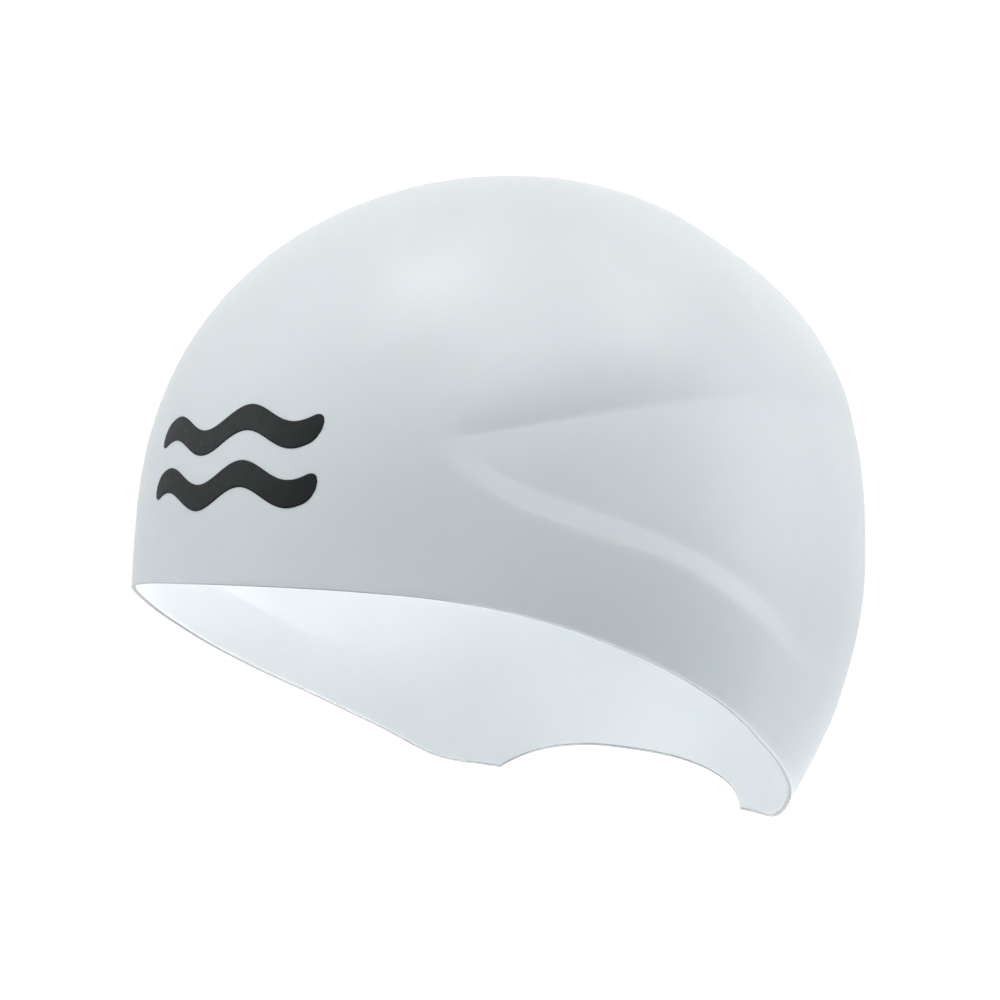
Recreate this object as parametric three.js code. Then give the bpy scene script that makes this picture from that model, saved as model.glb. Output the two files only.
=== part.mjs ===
import * as THREE from 'three';

// A racing swim cap: one moulded silicone shell, in the shape it has when worn.
// Millimetres, +Z up. The forehead is towards -Y and the wearer's left is +X.
// The origin is the inside of the crown, where the cap sits on the top of the head.
// An azimuth runs round the cap: 0 at the forehead, 90 over the left ear, 180 at the nape.

// Sizes of the dome, from the widest level of the head
const halfWidth = 83.5;
const frontReach = 75;
const backReach = 115;
const crownHeight = 90;
const crownLean = 19;        // the crown lies this far behind the widest section
const wall = 1;

// How far the free edge hangs below the widest level: at the forehead, over the ears and at
// the two lobes beside the nape
const foreheadDrop = 15;
const earDrop = 39;
const lobeDrop = 71;

// How far the wall has pulled in at the nape by the time it is tuckLevel below the widest level
const napeTuck = 40;
const tuckLevel = 57;
const tuckPower = 1.94;

// The arch cut out of the edge over the nape
const notchHalfAngle = 31;
const notchHeight = 13.2;
const notchPower = 2.6;

// The flow panel on each side: a scoop with a sharp valley, and a lip along its lower edge
const scoopDepth = 1.2;
const scoopPower = 3;
const lipDepth = 0.8;
const lipWidth = 4.5;

// Squareness of the outline from above and of the upright sections: 2 is an ellipse
const shape = {
  front: { reach: frontReach, plan: 2.1, section: 2.6 },
  ear: { section: 2.32 },
  back: { reach: backReach, plan: 2.73, section: 2.56 },
};

// The free edge round one side: shares of the three drops, and of the tuck
const edgeStations = [
  { azimuth: 0, forehead: 1, ear: 0, lobe: 0, tuck: 0 },
  { azimuth: 33, forehead: 0.975, ear: 0.025, lobe: 0, tuck: 0.1 },
  { azimuth: 48, forehead: 0.87, ear: 0.13, lobe: 0, tuck: 0.3 },
  { azimuth: 63, forehead: 0.62, ear: 0.38, lobe: 0, tuck: 0.46 },
  { azimuth: 77, forehead: 0.305, ear: 0.695, lobe: 0, tuck: 0.5 },
  { azimuth: 90, forehead: 0, ear: 1, lobe: 0, tuck: 0.5 },
  { azimuth: 105, forehead: 0, ear: 0.75, lobe: 0.25, tuck: 0.48 },
  { azimuth: 120, forehead: 0, ear: 0.472, lobe: 0.528, tuck: 0.465 },
  { azimuth: 135, forehead: 0, ear: 0.172, lobe: 0.828, tuck: 0.49 },
  { azimuth: 150, forehead: 0, ear: 0.091, lobe: 0.909, tuck: 0.58 },
  { azimuth: 165, forehead: 0, ear: 0.01, lobe: 0.99, tuck: 0.74 },
  { azimuth: 180, forehead: 0, ear: 0, lobe: 1, tuck: 0.85 },
];

// The flow panel's lines as shares of the crown height above the widest level: where the
// scoop starts, its valley and its lip, and how much of the full depth it has there.
// The three lines meet at the panel's tip and open again, flush, across the forehead.
const panelStations = [
  { azimuth: 0, scoop: 0.45, valley: 0.27, lip: 0.08, depth: 0 },
  { azimuth: 22, scoop: 0.32, valley: 0.18, lip: 0.09, depth: 0 },
  { azimuth: 35, scoop: 0.22, valley: 0.134, lip: 0.11, depth: 0 },
  { azimuth: 43, scoop: 0.31, valley: 0.152, lip: 0.025, depth: 0.65 },
  { azimuth: 53, scoop: 0.4, valley: 0.192, lip: -0.03, depth: 0.95 },
  { azimuth: 67, scoop: 0.455, valley: 0.248, lip: -0.088, depth: 1 },
  { azimuth: 81, scoop: 0.48, valley: 0.298, lip: -0.172, depth: 0.95 },
  { azimuth: 104, scoop: 0.505, valley: 0.356, lip: -0.31, depth: 0.6 },
  { azimuth: 134, scoop: 0.52, valley: 0.4, lip: -0.42, depth: 0.25 },
  { azimuth: 157, scoop: 0.53, valley: 0.42, lip: -0.47, depth: 0 },
  { azimuth: 180, scoop: 0.53, valley: 0.42, lip: -0.42, depth: 0 },
];

// Facets: columns from the forehead to the notch and across half of it, and rows of each band
const columnsToNotch = 28;
const columnsAcrossHalfNotch = 8;
const rows = { crown: 9, scoop: 4, floor: 6, lip: 1, skirt: 5 };

const radians = THREE.MathUtils.degToRad;

// A smooth curve through one column of a table, level at both ends
function readColumn(table, column, azimuth) {
  const last = table.length - 1;
  const slope = (i) => {
    if (i === 0 || i === last) return 0;
    const [before, after] = [table[i - 1], table[i + 1]];
    return (after[column] - before[column]) / (after.azimuth - before.azimuth);
  };
  let i = 0;
  while (i < last - 1 && table[i + 1].azimuth < azimuth) i += 1;
  const [from, to] = [table[i], table[i + 1]];
  const span = to.azimuth - from.azimuth;
  const t = (azimuth - from.azimuth) / span;
  const bend = t * (1 - t) * span * ((1 - t) * slope(i) - t * slope(i + 1));
  return from[column] + (to[column] - from[column]) * t * t * (3 - 2 * t) + bend;
}

// Squareness of the upright section at an azimuth
function sectionPower(azimuth) {
  const along = Math.cos(radians(azimuth));
  const end = along > 0 ? shape.front : shape.back;
  return shape.ear.section + (end.section - shape.ear.section) * along ** 2;
}

// Outline at the widest level, seen from above
function planPoint(azimuth) {
  const [c, s] = [Math.cos(radians(azimuth)), Math.sin(radians(azimuth))];
  const { reach, plan } = c > 0 ? shape.front : shape.back;
  const radius = (Math.abs(c / reach) ** plan + Math.abs(s / halfWidth) ** plan) ** (-1 / plan);
  return new THREE.Vector2(s * radius, -c * radius);
}

// The smooth dome before the panels: level runs from 0 at the crown to 1 at the widest level
// and on to 2 at tuckLevel below it
function domePoint(azimuth, level) {
  const plan = planPoint(azimuth);
  if (level > 1) {
    const below = level - 1;
    const tuck = napeTuck / backReach * readColumn(edgeStations, 'tuck', Math.abs(azimuth));
    const scale = 1 - tuck * below ** tuckPower;
    return new THREE.Vector3(plan.x * scale, plan.y * scale, -tuckLevel * below);
  }
  const power = 2 / sectionPower(azimuth);
  const angle = level * Math.PI / 2;
  const scale = Math.sin(angle) ** power;
  const height = Math.max(0, Math.cos(angle)) ** power;
  return new THREE.Vector3(plan.x * scale, plan.y * scale + crownLean * height ** 2, crownHeight * height);
}

function levelAt(azimuth, z) {
  if (z < 0) return 1 - z / tuckLevel;
  return Math.acos((z / crownHeight) ** (sectionPower(azimuth) / 2)) / (Math.PI / 2);
}

function domeNormal(azimuth, level) {
  if (level === 0) return new THREE.Vector3(0, 0, 1);
  const step = 0.01;
  const round = domePoint(azimuth + 1, level).sub(domePoint(azimuth - 1, level));
  const down = domePoint(azimuth, level + step).sub(domePoint(azimuth, level - Math.min(step, level)));
  return down.cross(round).normalize();
}

// Lowest level of the wall at an azimuth, with the nape arch cut away
function edgeHeight(azimuth) {
  const side = Math.abs(azimuth);
  const share = (column) => readColumn(edgeStations, column, side);
  const drop = foreheadDrop * share('forehead') + earDrop * share('ear') + lobeDrop * share('lobe');
  const across = (180 - side) / notchHalfAngle;
  return across < 1 ? notchHeight * (1 - across ** notchPower) - drop : -drop;
}

// Heights and inward depth of every row of one column, from the crown to the edge
function columnRows(azimuth) {
  const side = Math.abs(azimuth);
  const line = (column) => crownHeight * readColumn(panelStations, column, side);
  const share = readColumn(panelStations, 'depth', side);
  const [top, valley, lip] = [line('scoop'), line('valley'), line('lip')];
  const lipTop = lip + Math.min(lipWidth, (valley - lip) / 2);
  const list = [];
  const band = (count, from, to, depthAt) => {
    for (let i = 1; i <= count; i += 1) {
      const t = i / count;
      list.push({ level: levelAt(azimuth, from + (to - from) * t), depth: share * depthAt(t) });
    }
  };
  const topLevel = levelAt(azimuth, top);
  for (let i = 1; i <= rows.crown; i += 1) list.push({ level: topLevel * i / rows.crown, depth: 0 });
  band(rows.scoop, top, valley, (t) => scoopDepth * t ** scoopPower);
  band(rows.floor, valley, lipTop, (t) => scoopDepth + (lipDepth - scoopDepth) * t);
  band(rows.lip, lipTop, lip, (t) => lipDepth * (1 - t));
  band(rows.skirt, lip, edgeHeight(azimuth), () => 0);
  return list;
}

function columnAzimuths() {
  const toNotch = 180 - notchHalfAngle;
  const half = [];
  for (let i = 0; i < columnsToNotch; i += 1) half.push(toNotch * i / columnsToNotch);
  for (let i = 0; i <= columnsAcrossHalfNotch; i += 1) {
    half.push(toNotch + notchHalfAngle * i / columnsAcrossHalfNotch);
  }
  const otherSide = half.slice(1, -1).map((azimuth) => -azimuth).reverse();
  return [...half, ...otherSide];
}

// Outer and inner wall, closed at the crown and joined along the free edge
function capGeometry() {
  const seat = new THREE.Vector3(0, crownLean, crownHeight - wall);
  const positions = [];
  const addPoint = (azimuth, level, depth) => {
    const inward = domeNormal(azimuth, level).multiplyScalar(-depth);
    const point = domePoint(azimuth, level).add(inward).sub(seat);
    positions.push(point.x, point.y, point.z);
  };
  const columns = columnAzimuths().map((azimuth) => ({ azimuth, rows: columnRows(azimuth) }));
  const rowCount = columns[0].rows.length;
  const skins = [0, wall];
  for (const skin of skins) {
    addPoint(0, 0, skin);
    for (const column of columns) {
      for (const row of column.rows) addPoint(column.azimuth, row.level, row.depth + skin);
    }
  }

  const skinSize = 1 + columns.length * rowCount;
  const at = (skin, column, row) => skin * skinSize + 1 + (column % columns.length) * rowCount + row;
  const faces = [];
  const quad = (a, b, c, d) => faces.push(a, b, c, a, c, d);
  for (let c = 0; c < columns.length; c += 1) {
    faces.push(0, at(0, c, 0), at(0, c + 1, 0));
    faces.push(skinSize, at(1, c + 1, 0), at(1, c, 0));
    for (let r = 0; r < rowCount - 1; r += 1) {
      quad(at(0, c, r), at(0, c, r + 1), at(0, c + 1, r + 1), at(0, c + 1, r));
      quad(at(1, c, r), at(1, c + 1, r), at(1, c + 1, r + 1), at(1, c, r + 1));
    }
    const edge = rowCount - 1;
    quad(at(0, c, edge), at(1, c, edge), at(1, c + 1, edge), at(0, c + 1, edge));
  }

  const geometry = new THREE.BufferGeometry();
  geometry.setAttribute('position', new THREE.Float32BufferAttribute(positions, 3));
  geometry.setIndex(faces);
  geometry.computeVertexNormals();
  return geometry;
}

// White silicone with a soft satin skin
const silicone = new THREE.MeshStandardMaterial({ color: 0xe6e9ec, roughness: 0.45, metalness: 0 });

const capShell = new THREE.Mesh(capGeometry(), silicone);
capShell.name = 'cap_shell';

const swimCap = new THREE.Group();
swimCap.add(capShell);

export default swimCap;
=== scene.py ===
import math
import bpy
from mathutils import Matrix, Vector


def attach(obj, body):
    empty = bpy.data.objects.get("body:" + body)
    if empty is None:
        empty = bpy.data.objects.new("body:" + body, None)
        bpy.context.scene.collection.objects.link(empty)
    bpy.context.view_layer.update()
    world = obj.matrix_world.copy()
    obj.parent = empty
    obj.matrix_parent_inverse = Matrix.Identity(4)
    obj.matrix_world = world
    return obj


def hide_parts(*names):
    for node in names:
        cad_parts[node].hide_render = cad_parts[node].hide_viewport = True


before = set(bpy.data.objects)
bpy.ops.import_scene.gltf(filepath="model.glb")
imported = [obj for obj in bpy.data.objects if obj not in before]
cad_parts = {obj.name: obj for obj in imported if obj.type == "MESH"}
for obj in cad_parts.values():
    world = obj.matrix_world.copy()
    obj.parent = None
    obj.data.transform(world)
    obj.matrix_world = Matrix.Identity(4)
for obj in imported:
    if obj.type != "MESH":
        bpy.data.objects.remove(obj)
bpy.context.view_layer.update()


# The cap itself: one wall of white silicone about a millimetre thick, cast hot between a core and
# an outer mould. The scooped panel on each side and the swept free edge come out of the mould too.
# The outer face is laid out by rule from the crown down, then given its thickness inwards.

MM = 0.001

cap_sizes = {
    "Half width": 83.5 * MM,
    "Front reach": 75 * MM,
    "Back reach": 115 * MM,
    "Crown height": 90 * MM,
    "Crown lean": 19 * MM,
    "Nape tuck": 40 * MM,
    "Tuck level": 57 * MM,
    "Deepest drop": 71 * MM,
    "Wall": 1 * MM,
}
panel_sizes = {
    "Arch half angle": 31,
    "Arch height": 13.2 * MM,
    "Scoop depth": 1.2 * MM,
    "Lip depth": 0.8 * MM,
    "Lip width": 4.5 * MM,
}

# Squareness of the outline from above and of the upright sections, where 2 is an ellipse
front_plan = 2.1
back_plan = 2.73
front_section = 2.6
ear_section = 2.32
back_section = 2.56

# How suddenly the tuck, the arch and the scoop bend
tuck_power = 1.94
arch_power = 2.6
scoop_power = 3

# The free edge round one side, from the forehead at 0 over the ear at 90 to the nape at 180:
# how far it drops, as a share of the deepest drop, and its share of the tuck
free_edge = [
    {"azimuth": 0, "drop": 0.211, "tuck": 0},
    {"azimuth": 33, "drop": 0.22, "tuck": 0.1},
    {"azimuth": 48, "drop": 0.255, "tuck": 0.3},
    {"azimuth": 63, "drop": 0.34, "tuck": 0.46},
    {"azimuth": 77, "drop": 0.446, "tuck": 0.5},
    {"azimuth": 90, "drop": 0.549, "tuck": 0.5},
    {"azimuth": 105, "drop": 0.662, "tuck": 0.48},
    {"azimuth": 120, "drop": 0.787, "tuck": 0.465},
    {"azimuth": 135, "drop": 0.923, "tuck": 0.49},
    {"azimuth": 150, "drop": 0.959, "tuck": 0.58},
    {"azimuth": 165, "drop": 0.995, "tuck": 0.74},
    {"azimuth": 180, "drop": 1, "tuck": 0.85},
]

# The side panel's lines as shares of the crown height, and how deep it is pressed in there
side_panel = [
    {"azimuth": 0, "scoop": 0.45, "valley": 0.27, "lip": 0.08, "depth": 0},
    {"azimuth": 22, "scoop": 0.32, "valley": 0.18, "lip": 0.09, "depth": 0},
    {"azimuth": 35, "scoop": 0.22, "valley": 0.134, "lip": 0.11, "depth": 0},
    {"azimuth": 43, "scoop": 0.31, "valley": 0.152, "lip": 0.025, "depth": 0.65},
    {"azimuth": 53, "scoop": 0.4, "valley": 0.192, "lip": -0.03, "depth": 0.95},
    {"azimuth": 67, "scoop": 0.455, "valley": 0.248, "lip": -0.088, "depth": 1},
    {"azimuth": 81, "scoop": 0.48, "valley": 0.298, "lip": -0.172, "depth": 0.95},
    {"azimuth": 104, "scoop": 0.505, "valley": 0.356, "lip": -0.31, "depth": 0.6},
    {"azimuth": 134, "scoop": 0.52, "valley": 0.4, "lip": -0.42, "depth": 0.25},
    {"azimuth": 157, "scoop": 0.53, "valley": 0.42, "lip": -0.47, "depth": 0},
    {"azimuth": 180, "scoop": 0.53, "valley": 0.42, "lip": -0.42, "depth": 0},
]

cap_columns = 360
cap_rows = {"crown": 40, "scoop": 24, "floor": 26, "lip": 8, "skirt": 18}
seam_gap = 0.002 * MM
edge_rounding = 0.25 * MM
edge_steps = 2
sharp_edge = math.radians(60)


class Amount:
    """A number that a tree works out, so that a rule reads as a sum."""

    def __init__(self, tree, socket):
        self.tree = tree
        self.socket = socket

    def work(self, operation, *others):
        node = self.tree.nodes.new("ShaderNodeMath")
        node.operation = operation
        for slot, value in zip(node.inputs, (self,) + others):
            plug(self.tree, slot, value)
        return Amount(self.tree, node.outputs[0])

    def __add__(self, other):
        return self.work("ADD", other)

    def __sub__(self, other):
        return self.work("SUBTRACT", other)

    def __rsub__(self, other):
        return self.work("MULTIPLY", -1) + other

    def __mul__(self, other):
        return self.work("MULTIPLY", other)

    def __truediv__(self, other):
        return self.work("DIVIDE", other)

    def __pow__(self, other):
        return self.work("POWER", other)


def plug(tree, slot, value):
    """Gives an input its value, or links it to what works the value out."""
    if isinstance(value, Amount):
        tree.links.new(value.socket, slot)
    elif isinstance(value, bpy.types.NodeSocket):
        tree.links.new(value, slot)
    else:
        slot.default_value = value


def open_tree(name, sizes):
    """A new tree with a named input for each size."""
    tree = bpy.data.node_groups.new(name, "GeometryNodeTree")
    tree.interface.new_socket("Geometry", in_out="OUTPUT", socket_type="NodeSocketGeometry")
    entry = tree.nodes.new("NodeGroupInput")
    size = {}
    for label, value in sizes.items():
        slot = tree.interface.new_socket(label, in_out="INPUT", socket_type="NodeSocketFloat")
        slot.default_value = value
        size[label] = Amount(tree, entry.outputs[label])
    return tree, size


def step(tree, kind, **inputs):
    """One node on a geometry, with its inputs given by name."""
    node = tree.nodes.new(kind)
    for label, value in inputs.items():
        plug(tree, node.inputs[label.replace("_", " ")], value)
    return node


def joined(tree, x, y, z):
    node = tree.nodes.new("ShaderNodeCombineXYZ")
    for slot, value in zip(node.inputs, (x, y, z)):
        plug(tree, slot, value)
    return node.outputs[0]


def grid_place(tree):
    """Where a point of a unit grid lies: 0 to 1 across it and 0 to 1 down it."""
    place = tree.nodes.new("GeometryNodeInputPosition")
    split = tree.nodes.new("ShaderNodeSeparateXYZ")
    tree.links.new(place.outputs[0], split.inputs[0])
    return Amount(tree, split.outputs[0]) + 0.5, 0.5 - Amount(tree, split.outputs[1])


def stored(tree, geometry, name, value):
    """Keeps a value on the points of a geometry under a name."""
    node = step(tree, "GeometryNodeStoreNamedAttribute", Geometry=geometry, Name=name, Value=value)
    node.data_type = "FLOAT"
    node.domain = "POINT"
    return node.outputs["Geometry"]


def recalled(tree, name):
    node = step(tree, "GeometryNodeInputNamedAttribute", Name=name)
    node.data_type = "FLOAT"
    return Amount(tree, node.outputs["Attribute"])


def smooth_value(stations, column, azimuth):
    """One column of a table as a smooth curve, level at the forehead and at the nape."""
    azimuth = min(abs(azimuth), 360 - abs(azimuth))
    last = len(stations) - 1
    slopes = [0] * (last + 1)
    for i in range(1, last):
        rise = stations[i + 1][column] - stations[i - 1][column]
        slopes[i] = rise / (stations[i + 1]["azimuth"] - stations[i - 1]["azimuth"])
    i = 0
    while i < last - 1 and stations[i + 1]["azimuth"] < azimuth:
        i += 1
    span = stations[i + 1]["azimuth"] - stations[i]["azimuth"]
    t = (azimuth - stations[i]["azimuth"]) / span
    bend = t * (1 - t) * span * ((1 - t) * slopes[i] - t * slopes[i + 1])
    low = stations[i][column]
    return low + (stations[i + 1][column] - low) * t * t * (3 - 2 * t) + bend


def read_round(tree, side, stations, column):
    """A table's column as a curve that the tree reads at any azimuth."""
    first = -30
    last = 210
    interval = 5
    node = tree.nodes.new("ShaderNodeFloatCurve")
    curve = node.mapping.curves[0]
    node.mapping.use_clip = False
    azimuths = list(range(first, last + 1, interval))
    while len(curve.points) < len(azimuths):
        curve.points.new(0.5, 0)
    for point, azimuth in zip(curve.points, azimuths):
        place = (azimuth - first) / (last - first)
        point.location = (place, smooth_value(stations, column, azimuth))
        point.handle_type = "AUTO"
    node.mapping.update()
    plug(tree, node.inputs["Value"], (side - first) / (last - first))
    return Amount(tree, node.outputs[0])


def dome(tree, size, azimuth, level):
    """A point of the plain dome: level 0 at the crown, 1 at the widest, 2 at the tuck level."""
    angle = azimuth.work("RADIANS")
    c = angle.work("COSINE")
    s = angle.work("SINE")
    ahead = c.work("GREATER_THAN", 0)
    plan = ahead * (front_plan - back_plan) + back_plan
    reach = ahead * (size["Front reach"] - size["Back reach"]) + size["Back reach"]
    around = (c.work("ABSOLUTE") / reach) ** plan + (s.work("ABSOLUTE") / size["Half width"]) ** plan
    radius = around ** (0 - plan ** -1)
    power = (section_power(c) ** -1) * 2
    turn = level.work("MINIMUM", 1) * (math.pi / 2)
    height = turn.work("COSINE").work("MAXIMUM", 0) ** power
    below = (level - 1).work("MAXIMUM", 0)
    tuck_share = read_round(tree, azimuth.work("ABSOLUTE"), free_edge, "tuck")
    tuck = size["Nape tuck"] / size["Back reach"] * tuck_share
    scale = turn.work("SINE") ** power * (1 - tuck * below ** tuck_power)
    x = s * radius * scale
    y = size["Crown lean"] * (height ** 2 - 1) - c * radius * scale
    z = size["Crown height"] * (height - 1) - size["Tuck level"] * below + size["Wall"]
    return joined(tree, x, y, z)


def section_power(c):
    """Squareness of the upright section, from the cosine of the azimuth."""
    ahead = c.work("GREATER_THAN", 0)
    end = ahead * (front_section - back_section) + back_section
    return (end - ear_section) * c ** 2 + ear_section


def level_at(size, azimuth, z):
    """The level at a height over the widest level, which is negative below it."""
    c = azimuth.work("RADIANS").work("COSINE")
    share = (z.work("MAXIMUM", 0) / size["Crown height"]).work("MINIMUM", 1)
    above = (share ** (section_power(c) / 2)).work("ARCCOSINE") / (math.pi / 2)
    return above + (0 - z).work("MAXIMUM", 0) / size["Tuck level"]


def band_shares(fall):
    """How far down each band of rows a point lies, from 0 to 1."""
    total = sum(cap_rows.values())
    shares = {}
    start = 0
    for band, count in cap_rows.items():
        share = (fall - start / total) / (count / total)
        shares[band] = share.work("MAXIMUM", 0).work("MINIMUM", 1)
        start += count
    return shares


def finish_tree(tree, geometry, material):
    """The last steps of every tree, up to its output."""
    smooth = step(tree, "GeometryNodeSetShadeSmooth", Geometry=geometry, Shade_Smooth=True)
    real = step(tree, "GeometryNodeRealizeInstances", Geometry=smooth.outputs[0])
    dressed = step(tree, "GeometryNodeSetMaterial", Geometry=real.outputs[0], Material=material)
    exit_node = tree.nodes.new("NodeGroupOutput")
    tree.links.new(dressed.outputs[0], exit_node.inputs[0])


def moulded(name, tree, sizes):
    """An object with the tree as its modifier, each size set by its socket's identifier."""
    piece = bpy.data.objects.new(name, bpy.data.meshes.new(name))
    bpy.context.collection.objects.link(piece)
    modifier = piece.modifiers.new(tree.name, "NODES")
    modifier.node_group = tree
    for item in tree.interface.items_tree:
        if item.in_out == "INPUT":
            modifier[item.identifier] = sizes[item.name]
    return piece


def cast_solid(piece):
    """Turns a piece and its modifiers into one plain mesh."""
    graph = bpy.context.evaluated_depsgraph_get()
    mesh = bpy.data.meshes.new_from_object(piece.evaluated_get(graph))
    piece.modifiers.clear()
    piece.data = mesh
    mesh.name = piece.name


def noise(material, scale, detail, roughness):
    """Noise on the object's own coordinates, in grains a metre."""
    nodes = material.node_tree.nodes
    links = material.node_tree.links
    where = nodes.get("place") or nodes.new("ShaderNodeTexCoord")
    where.name = "place"
    grain = nodes.new("ShaderNodeTexNoise")
    grain.inputs["Scale"].default_value = scale
    grain.inputs["Detail"].default_value = detail
    grain.inputs["Roughness"].default_value = roughness
    links.new(where.outputs["Object"], grain.inputs["Vector"])
    return grain.outputs["Fac"]


def spread(material, source, low, high):
    """Noise mapped to a range of numbers."""
    node = material.node_tree.nodes.new("ShaderNodeMapRange")
    node.inputs["From Min"].default_value = 0.3
    node.inputs["From Max"].default_value = 0.7
    node.inputs["To Min"].default_value = low
    node.inputs["To Max"].default_value = high
    material.node_tree.links.new(source, node.inputs["Value"])
    return node.outputs["Result"]


def tinted(material, source, dark, light):
    """Noise mapped to a range of colours."""
    node = material.node_tree.nodes.new("ShaderNodeValToRGB")
    node.color_ramp.elements[0].position = 0.3
    node.color_ramp.elements[0].color = (*dark, 1)
    node.color_ramp.elements[1].position = 0.7
    node.color_ramp.elements[1].color = (*light, 1)
    material.node_tree.links.new(source, node.inputs["Fac"])
    return node.outputs["Color"]


def bumped(material, source, height, before=None):
    """Noise as a relief of a given height, laid over an earlier one if there is one."""
    node = material.node_tree.nodes.new("ShaderNodeBump")
    node.inputs["Distance"].default_value = height
    node.inputs["Strength"].default_value = 1
    material.node_tree.links.new(source, node.inputs["Height"])
    if before:
        material.node_tree.links.new(before, node.inputs["Normal"])
    return node.outputs["Normal"]


def rim_shade_mask(material):
    """1 on the narrow cut face along the rim and 0 a hair above it: where the painted shade line
    lies.
    """
    fall_there = material.node_tree.nodes.new("ShaderNodeAttribute")
    fall_there.attribute_name = "fall"
    node = material.node_tree.nodes.new("ShaderNodeMapRange")
    node.inputs["From Min"].default_value = 0.998
    node.inputs["From Max"].default_value = 1.0
    material.node_tree.links.new(fall_there.outputs["Fac"], node.inputs["Value"])
    return node.outputs["Result"]


# How the silicone scatters light, and its grains: how many to the metre, and how high they stand
silicone_index = 1.41
scatter_share = 0.5
scatter_depth = 0.0012
scatter_tint = (1.0, 0.95, 0.9)
powder_sheen = 0.12
sheen_spread = 0.5
cloud_grain = 28
powder_grain = 900
skin_grain = 3200
wave_grain = 60
wave_rise = 0.12 * MM
skin_rise = 0.012 * MM
white_dark = (0.76, 0.786, 0.8)
white_light = (0.79, 0.816, 0.83)
# Painted shade: a dark grey laid on the cut face along the rim as a shadow line
rim_shade_grey = (0.2, 0.21, 0.22, 1)

silicone = bpy.data.materials.new("silicone")
silicone.use_nodes = True
skin = silicone.node_tree.nodes["Principled BSDF"]
skin.inputs["IOR"].default_value = silicone_index
skin.inputs["Subsurface Weight"].default_value = scatter_share
skin.inputs["Subsurface Radius"].default_value = scatter_tint
skin.inputs["Subsurface Scale"].default_value = scatter_depth
skin.inputs["Sheen Weight"].default_value = powder_sheen
skin.inputs["Sheen Roughness"].default_value = sheen_spread
cloudy = noise(silicone, cloud_grain, 3, 0.55)
powder = noise(silicone, powder_grain, 4, 0.6)
fine_skin = noise(silicone, skin_grain, 2, 0.5)
white = tinted(silicone, cloudy, white_dark, white_light)
# The painted shade line, mixed over the white on the rim's cut face
rim_shade_mix = silicone.node_tree.nodes.new("ShaderNodeMix")
rim_shade_mix.data_type = "RGBA"
rim_shade_mix.inputs["B"].default_value = rim_shade_grey
silicone.node_tree.links.new(white, rim_shade_mix.inputs["A"])
silicone.node_tree.links.new(rim_shade_mask(silicone), rim_shade_mix.inputs["Factor"])
silicone.node_tree.links.new(rim_shade_mix.outputs["Result"], skin.inputs["Base Color"])
silicone.node_tree.links.new(spread(silicone, powder, 0.36, 0.48), skin.inputs["Roughness"])
soft_waves = bumped(silicone, noise(silicone, wave_grain, 2, 0.4), wave_rise)
grain_bump = bumped(silicone, fine_skin, skin_rise, soft_waves)
silicone.node_tree.links.new(grain_bump, skin.inputs["Normal"])

cap_tree, cap = open_tree("cap wall", {**cap_sizes, **panel_sizes})
sheet = step(
    cap_tree,
    "GeometryNodeMeshGrid",
    Size_X=1.0,
    Size_Y=1.0,
    Vertices_X=cap_columns + 1,
    Vertices_Y=sum(cap_rows.values()) + 1,
)
across, down = grid_place(cap_tree)
marked = stored(cap_tree, sheet.outputs["Mesh"], "fall", down)
fall = recalled(cap_tree, "fall")
azimuth = (across - 0.5) * 360
marked = stored(cap_tree, marked, "side", azimuth.work("ABSOLUTE"))
side = recalled(cap_tree, "side")
bands = band_shares(fall)

# Heights of the panel's three lines and of the free edge, over the widest level
top = read_round(cap_tree, side, side_panel, "scoop") * cap["Crown height"]
valley = read_round(cap_tree, side, side_panel, "valley") * cap["Crown height"]
lip = read_round(cap_tree, side, side_panel, "lip") * cap["Crown height"]
lip_top = lip + cap["Lip width"].work("MINIMUM", (valley - lip) / 2)
arch_across = ((180 - side) / cap["Arch half angle"]).work("MINIMUM", 1)
arch = cap["Arch height"] * (1 - arch_across ** arch_power)
edge = arch - read_round(cap_tree, side, free_edge, "drop") * cap["Deepest drop"]

line_height = top + (valley - top) * bands["scoop"] + (lip_top - valley) * bands["floor"]
line_height = line_height + (lip - lip_top) * bands["lip"] + (edge - lip) * bands["skirt"]
level = level_at(cap, azimuth, line_height) * bands["crown"]
domed = step(
    cap_tree,
    "GeometryNodeSetPosition",
    Geometry=marked,
    Position=dome(cap_tree, cap, azimuth, level),
)
closed = step(cap_tree, "GeometryNodeMergeByDistance", Geometry=domed.outputs[0], Distance=seam_gap)

pressed = cap["Scoop depth"] * bands["scoop"] ** scoop_power
pressed = pressed + (cap["Lip depth"] - cap["Scoop depth"]) * bands["floor"]
pressed = pressed - cap["Lip depth"] * bands["lip"]
pressed = pressed * read_round(cap_tree, side, side_panel, "depth")
outwards = cap_tree.nodes.new("GeometryNodeInputNormal")
inward = cap_tree.nodes.new("ShaderNodeVectorMath")
inward.operation = "SCALE"
cap_tree.links.new(outwards.outputs[0], inward.inputs[0])
plug(cap_tree, inward.inputs["Scale"], 0 - pressed)
panelled = step(
    cap_tree,
    "GeometryNodeSetPosition",
    Geometry=closed.outputs[0],
    Offset=inward.outputs[0],
)
finish_tree(cap_tree, panelled.outputs[0], silicone)

cap_shell = moulded("swim_cap", cap_tree, {**cap_sizes, **panel_sizes})
thickness = cap_shell.modifiers.new("thickness", "SOLIDIFY")
thickness.thickness = cap_sizes["Wall"]
thickness.offset = -1
edge_round = cap_shell.modifiers.new("edge round", "BEVEL")
edge_round.width = edge_rounding
edge_round.segments = edge_steps
edge_round.limit_method = "ANGLE"
edge_round.angle_limit = sharp_edge
cast_solid(cap_shell)
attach(cap_shell, "root")
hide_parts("cap_shell")


# The mark on the forehead: black silicone ink pressed on with a soft pad, a film a tenth of a
# millimetre thick that follows the curve of the cap. A plain pair of waves, such as a pool sign has.

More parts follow.
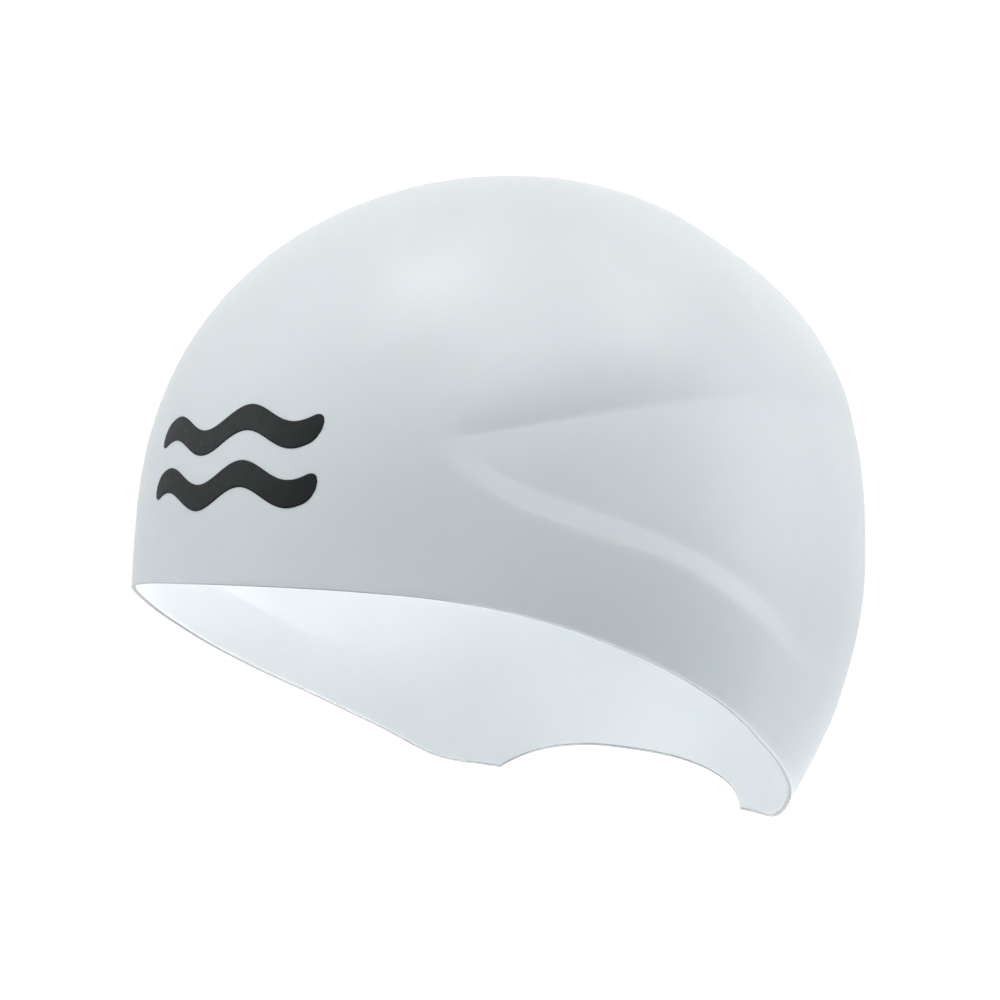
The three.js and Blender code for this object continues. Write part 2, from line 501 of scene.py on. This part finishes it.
mark_sizes = {
    "Mark half angle": 19.5,
    "Mark height": 9.5 * MM,
    "Wave height": 2.1 * MM,
    "Waves": 2.0,
    "Band": 5.2 * MM,
    "Gap": 11 * MM,
    "Ink": 0.07 * MM,
}
film_wall = 0.12 * MM
mark_columns = 220
mark_rows = 14

ink_index = 1.43
ink_shine = 0.3
ink_dark = (0.006, 0.0065, 0.007)
ink_light = (0.011, 0.0115, 0.0125)
blot_grain = 260
matt_grain = 1300
weave_grain = 2400
weave_rise = 0.01 * MM

ink = bpy.data.materials.new("print_ink")
ink.use_nodes = True
film = ink.node_tree.nodes["Principled BSDF"]
film.inputs["IOR"].default_value = ink_index
film.inputs["Specular IOR Level"].default_value = ink_shine
black = tinted(ink, noise(ink, blot_grain, 3, 0.6), ink_dark, ink_light)
ink.node_tree.links.new(black, film.inputs["Base Color"])
matt = spread(ink, noise(ink, matt_grain, 4, 0.6), 0.42, 0.56)
ink.node_tree.links.new(matt, film.inputs["Roughness"])
weave = bumped(ink, noise(ink, weave_grain, 2, 0.5), weave_rise)
ink.node_tree.links.new(weave, film.inputs["Normal"])

mark_tree, mark = open_tree("forehead mark", {**cap_sizes, **mark_sizes})
both = mark_tree.nodes.new("GeometryNodeJoinGeometry")
for row in (-0.5, 0.5):
    strip = step(
        mark_tree,
        "GeometryNodeMeshGrid",
        Size_X=1.0,
        Size_Y=1.0,
        Vertices_X=mark_columns + 1,
        Vertices_Y=mark_rows + 1,
    )
    along, across_band = grid_place(mark_tree)
    mark_azimuth = (along - 0.5) * mark["Mark half angle"] * 2
    arc = mark["Mark half angle"].work("RADIANS") * mark["Front reach"] * 2
    to_end = (along.work("MINIMUM", 1 - along) * arc / (mark["Band"] / 2)).work("MINIMUM", 1)
    half_band = mark["Band"] / 2 * ((1 - (1 - to_end) ** 2).work("MAXIMUM", 0)) ** 0.5
    wave = (along * mark["Waves"] * (2 * math.pi)).work("SINE") * mark["Wave height"]
    height = mark["Mark height"] + mark["Gap"] * row + wave - half_band * (across_band - 0.5) * 2
    laid = step(
        mark_tree,
        "GeometryNodeSetPosition",
        Geometry=strip.outputs["Mesh"],
        Position=dome(mark_tree, mark, mark_azimuth, level_at(mark, mark_azimuth, height)),
    )
    mark_tree.links.new(laid.outputs[0], both.inputs[0])
off_wall = mark_tree.nodes.new("GeometryNodeInputNormal")
lift = mark_tree.nodes.new("ShaderNodeVectorMath")
lift.operation = "SCALE"
mark_tree.links.new(off_wall.outputs[0], lift.inputs[0])
plug(mark_tree, lift.inputs["Scale"], mark["Ink"])
lifted = step(mark_tree, "GeometryNodeSetPosition", Geometry=both.outputs[0], Offset=lift.outputs[0])
finish_tree(mark_tree, lifted.outputs[0], ink)

forehead_mark = moulded("forehead_mark", mark_tree, {**cap_sizes, **mark_sizes})
film_thickness = forehead_mark.modifiers.new("film", "SOLIDIFY")
film_thickness.thickness = film_wall
film_thickness.offset = -1
cast_solid(forehead_mark)
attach(forehead_mark, "root")


# The studio: a plain pale grey floor well under the cap, which is held up as a head holds it, and a
# room that is white behind it. The floor glows white towards its far side, a painted light that
# shows white behind the cap and lights it from below. Five soft lights stand round it, and a small
# one shines up inside.

floor_level = -0.45
paper_grey = (0.44, 0.49, 0.54, 1)
paper_roughness = 0.9
far_way = (-0.62, 0.78, 0)
glow_start = 0.3
glow_end = 0.65
glow_strength = 1.0
floor_mesh = bpy.data.meshes.new("studio_floor")
span = 3.0
corners = [(-span, -span), (span, -span), (span, span), (-span, span)]
floor_mesh.from_pydata([(x, y, floor_level) for x, y in corners], [], [(0, 1, 2, 3)])
studio_floor = bpy.data.objects.new("studio_floor", floor_mesh)
bpy.context.collection.objects.link(studio_floor)
paper = bpy.data.materials.new("studio_paper")
paper.use_nodes = True
sheet_finish = paper.node_tree.nodes["Principled BSDF"]
sheet_finish.inputs["Base Color"].default_value = paper_grey
sheet_finish.inputs["Roughness"].default_value = paper_roughness
# Painted light: the paper glows white, more so the farther it lies behind the cap
sheet_finish.inputs["Emission Color"].default_value = (1, 1, 1, 1)
far_side = paper.node_tree.nodes.new("ShaderNodeVectorMath")
far_side.operation = "DOT_PRODUCT"
far_side.inputs[1].default_value = far_way
ground = paper.node_tree.nodes.new("ShaderNodeTexCoord")
paper.node_tree.links.new(ground.outputs["Object"], far_side.inputs[0])
far_glow = paper.node_tree.nodes.new("ShaderNodeMapRange")
far_glow.interpolation_type = "SMOOTHSTEP"
far_glow.inputs["From Min"].default_value = glow_start
far_glow.inputs["From Max"].default_value = glow_end
far_glow.inputs["To Min"].default_value = 0.0
far_glow.inputs["To Max"].default_value = glow_strength
paper.node_tree.links.new(far_side.outputs["Value"], far_glow.inputs["Value"])
paper.node_tree.links.new(far_glow.outputs["Result"], sheet_finish.inputs["Emission Strength"])
floor_mesh.materials.append(paper)

# The camera's place and how it is held, in the part's own frame
camera_place = Vector((0.1608, -0.2062, -0.1060))
camera_back = Vector((0.62529, -0.77260, -0.11001)).normalized()
camera_right = Vector((0.77973, 0.62435, 0.04701))
camera_up = camera_back.cross(camera_right).normalized()
camera_right = camera_up.cross(camera_back)
camera = bpy.data.objects.new("camera", bpy.data.cameras.new("camera"))
camera.data.sensor_width = 36
camera.data.lens = 35.53
camera.data.clip_start = 0.01
camera_turn = Matrix((camera_right, camera_up, camera_back)).transposed()
camera.matrix_world = Matrix.Translation(camera_place) @ camera_turn.to_4x4()
bpy.context.collection.objects.link(camera)
bpy.context.scene.camera = camera

# The room: white behind the cap, dark grey round it and darker overhead
world = bpy.data.worlds.new("studio_room")
world.use_nodes = True
bpy.context.scene.world = world
room = world.node_tree
facing = room.nodes.new("ShaderNodeTexCoord")


def room_glow(direction, start, end, low, high):
    """Brightness that grows towards one direction, from low to high between two cosines."""
    along = room.nodes.new("ShaderNodeVectorMath")
    along.operation = "DOT_PRODUCT"
    along.inputs[1].default_value = direction
    room.links.new(facing.outputs["Generated"], along.inputs[0])
    glow = room.nodes.new("ShaderNodeMapRange")
    glow.interpolation_type = "SMOOTHSTEP"
    glow.inputs["From Min"].default_value = start
    glow.inputs["From Max"].default_value = end
    glow.inputs["To Min"].default_value = low
    glow.inputs["To Max"].default_value = high
    room.links.new(along.outputs["Value"], glow.inputs["Value"])
    return glow.outputs["Result"]


both_ways = room.nodes.new("ShaderNodeMath")
both_ways.operation = "MULTIPLY"
room.links.new(room_glow(far_way, 0.3, 0.72, 0.2, 1.02), both_ways.inputs[0])
room.links.new(room_glow((0, 0, 1), 0.6, 0.95, 1, 0.4), both_ways.inputs[1])
sky = room.nodes["Background"]
sky.inputs["Color"].default_value = (1, 1, 1, 1)
room.links.new(both_ways.outputs[0], sky.inputs["Strength"])


def soft_light(name, place, aim, width, power, tint=(1, 1, 1)):
    """A round soft light, its width in metres and its power in watts."""
    lamp = bpy.data.lights.new(name, "AREA")
    lamp.shape = "DISK"
    lamp.size = width
    lamp.energy = power
    lamp.color = tint
    holder = bpy.data.objects.new(name, lamp)
    holder.visible_camera = False
    holder.location = place
    holder.rotation_euler = (Vector(aim) - Vector(place)).to_track_quat("-Z", "Y").to_euler()
    bpy.context.collection.objects.link(holder)


cap_middle = (0, 0, -0.07)
cool = (0.94, 0.99, 1)
warm = (1, 0.96, 0.93)
soft_light("key_light", (-0.09, -0.62, 1.06), cap_middle, 0.5, 4.6)
soft_light("camera_side_light", (0.55, -0.75, 0.8), cap_middle, 0.6, 4.2, cool)
soft_light("right_top_light", (0.75, 0.1, 0.85), cap_middle, 0.6, 3.5)
soft_light("left_light", (-0.75, -0.8, 0.3), cap_middle, 0.9, 3.8, cool)
soft_light("right_light", (0.85, 0.7, 0.1), cap_middle, 0.9, 4.2, cool)
soft_light("inside_light", (-0.01, -0.01, -0.33), (-0.02, 0.02, 0), 0.14, 1.1, warm)

bpy.context.scene.view_settings.view_transform = "Standard"
